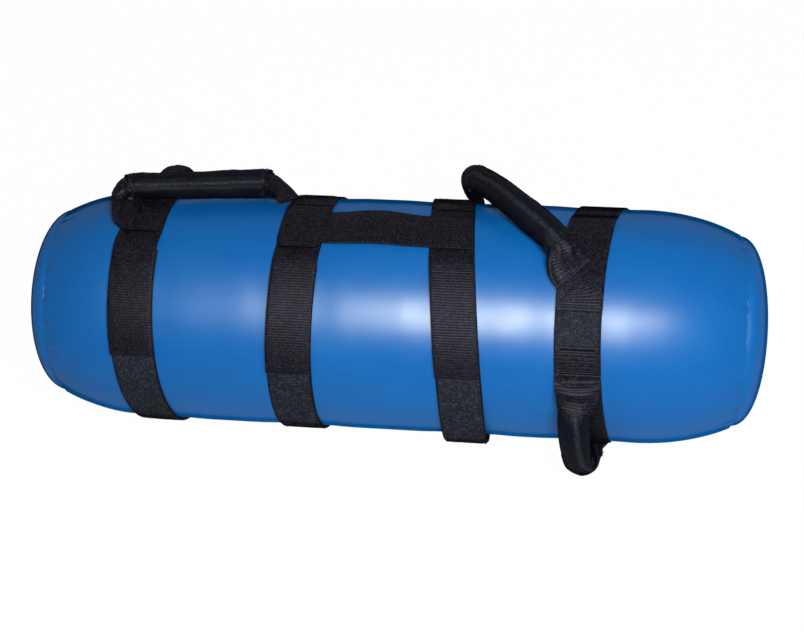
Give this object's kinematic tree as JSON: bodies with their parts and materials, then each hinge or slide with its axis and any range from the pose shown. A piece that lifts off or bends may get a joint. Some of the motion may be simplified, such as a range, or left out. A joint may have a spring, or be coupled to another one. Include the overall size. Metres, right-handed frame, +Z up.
{
  "type": "aqua training bag",
  "caption": "Water-filled cylindrical training bag with domed ends, wrapped in webbing straps that carry padded loop handles.",
  "frame": {"origin": "on the floor under the bag's middle, on the flat where the skin sags down between the two middle straps", "axes": "+X along the bag from its valve end to its plain end, +Z up, so that the front with the free ends of the straps faces -Y"},
  "size_m": [0.8642, 0.3644, 0.3056],
  "materials": {
    "blue_skin": "satin",
    "water": "gloss",
    "black_webbing": "matte",
    "black_loop": "matte",
    "black_sleeve": "matte",
    "grey_foam": "matte",
    "valve_black": "satin",
    "gasket_rubber": "matte"
  },
  "bodies": {
    "bag": {"shell_side_panel": "blue_skin", "shell_end_left": "blue_skin", "shell_end_right": "blue_skin", "water_fill": "water", "valve_body": "valve_black", "strap_1_webbing": "black_webbing", "strap_1_loop_tape": "black_loop", "strap_2_webbing": "black_webbing", "strap_2_loop_tape": "black_loop", "strap_3_webbing": "black_webbing", "strap_3_loop_tape": "black_loop", "strap_4_webbing": "black_webbing", "strap_4_loop_tape": "black_loop", "strap_4_hook_tape": "black_loop", "cross_strap": "black_webbing", "left_carry_handle_tab_left": "black_webbing", "left_carry_handle_tab_right": "black_webbing", "right_carry_handle_tab_left": "black_webbing", "right_carry_handle_tab_right": "black_webbing", "front_loop_handle_tab_upper": "black_webbing", "front_loop_handle_tab_lower": "black_webbing", "rear_loop_handle_tab_upper": "black_webbing", "rear_loop_handle_tab_lower": "black_webbing"},
    "cap_lift": {"valve_gasket": "gasket_rubber"},
    "cap": {"valve_cap": "valve_black"},
    "strap_1_flap": {"strap_1_free_end": "black_webbing", "strap_1_hook_tape": "black_loop"},
    "strap_2_flap": {"strap_2_free_end": "black_webbing", "strap_2_hook_tape": "black_loop"},
    "strap_3_flap": {"strap_3_free_end": "black_webbing", "strap_3_hook_tape": "black_loop"},
    "left_carry_handle": {"left_carry_handle_sleeve": "black_sleeve", "left_carry_handle_foam": "grey_foam", "left_carry_handle_webbing": "black_webbing"},
    "right_carry_handle": {"right_carry_handle_sleeve": "black_sleeve", "right_carry_handle_foam": "grey_foam", "right_carry_handle_webbing": "black_webbing"},
    "front_loop_handle": {"front_loop_handle_sleeve": "black_sleeve", "front_loop_handle_foam": "grey_foam", "front_loop_handle_webbing": "black_webbing"},
    "rear_loop_handle": {"rear_loop_handle_sleeve": "black_sleeve", "rear_loop_handle_foam": "grey_foam", "rear_loop_handle_webbing": "black_webbing"}
  },
  "joints": [
    {"name": "cap_lift", "type": "slide", "parent": "bag", "child": "cap_lift", "axis": [-1, 0, 0], "range_m": [0, 0.0062]},
    {"name": "cap_turn", "type": "hinge", "parent": "cap_lift", "child": "cap", "pos_m": [-0.4388, 0, 0.13305], "axis": [-1, 0, 0], "range_deg": [0, 720]},
    {"name": "strap_1_peel", "type": "hinge", "parent": "bag", "child": "strap_1_flap", "pos_m": [-0.28246, -0.04837, 0.26598], "axis": [-1, 0, 0], "range_deg": [0, 100]},
    {"name": "strap_2_peel", "type": "hinge", "parent": "bag", "child": "strap_2_flap", "pos_m": [-0.10167, -0.05989, 0.26147], "axis": [-1, 0, 0], "range_deg": [0, 100]},
    {"name": "strap_3_peel", "type": "hinge", "parent": "bag", "child": "strap_3_flap", "pos_m": [0.07313, -0.05532, 0.26337], "axis": [-1, 0, 0], "range_deg": [0, 100]},
    {"name": "left_carry_swing", "type": "hinge", "parent": "bag", "child": "left_carry_handle", "pos_m": [-0.30101, 0.02341, 0.27148], "axis": [0.9659, 0.2437, -0.0871], "range_deg": [0, 100], "deforming": ["left_carry_handle_webbing"]},
    {"name": "right_carry_swing", "type": "hinge", "parent": "bag", "child": "right_carry_handle", "pos_m": [0.09, 0.09635, 0.23457], "axis": [0.6435, -0.742, 0.1881], "range_deg": [-20, 30], "deforming": ["right_carry_handle_webbing"]},
    {"name": "front_loop_swing", "type": "hinge", "parent": "bag", "child": "front_loop_handle", "pos_m": [0.21577, -0.13485, 0.16668], "axis": [0.205, 0.3501, -0.914], "range_deg": [-20, 20], "deforming": ["front_loop_handle_webbing"]},
    {"name": "rear_loop_swing", "type": "hinge", "parent": "bag", "child": "rear_loop_handle", "pos_m": [-0.27838, 0.10003, 0.22966], "axis": [0.0501, 0.1567, -0.9864], "range_deg": [-20, 20], "deforming": ["rear_loop_handle_webbing"]}
  ],
  "couplings": [
    {"joint": "cap_lift", "follows": "cap_turn", "m_per_rad": 0.000477}
  ]
}
